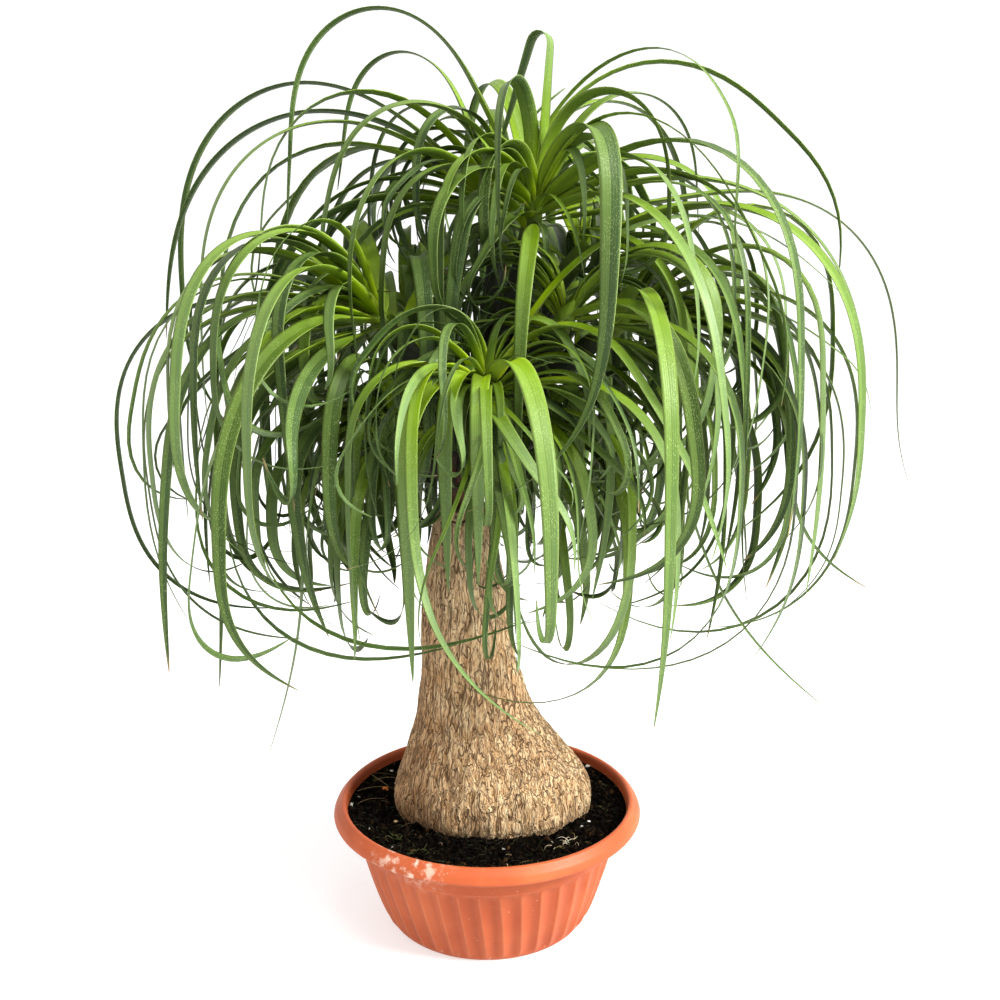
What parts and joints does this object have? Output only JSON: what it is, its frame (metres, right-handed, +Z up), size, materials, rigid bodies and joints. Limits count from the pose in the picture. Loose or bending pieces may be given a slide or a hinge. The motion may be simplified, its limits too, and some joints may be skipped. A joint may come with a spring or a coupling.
{
  "type": "potted ponytail palm",
  "caption": "Ponytail palm with a swollen corky trunk and a round crown of long arching leaves, in a fluted bowl pot.",
  "frame": {"origin": "centre of the pot's underside", "axes": "+Z up along the trunk, the front, which the picture shows, towards -Y, +X to the viewer's right"},
  "size_m": [0.7462, 0.6147, 0.8505],
  "materials": {
    "pot": "satin",
    "soil": "matte",
    "bark": "matte",
    "leaf": "satin"
  },
  "bodies": {
    "root": {"pot": "pot", "soil": "soil", "trunk": "bark", "rosette_front": "leaf", "rosette_top": "leaf", "rosette_left": "leaf", "rosette_right": "leaf", "rosette_middle": "leaf", "rosette_upper": "leaf", "rosette_crown": "leaf", "rosette_low_right": "leaf", "rosette_low_left": "leaf", "rosette_back_left": "leaf", "rosette_back_right": "leaf", "rosette_back_low": "leaf"}
  },
  "joints": []
}
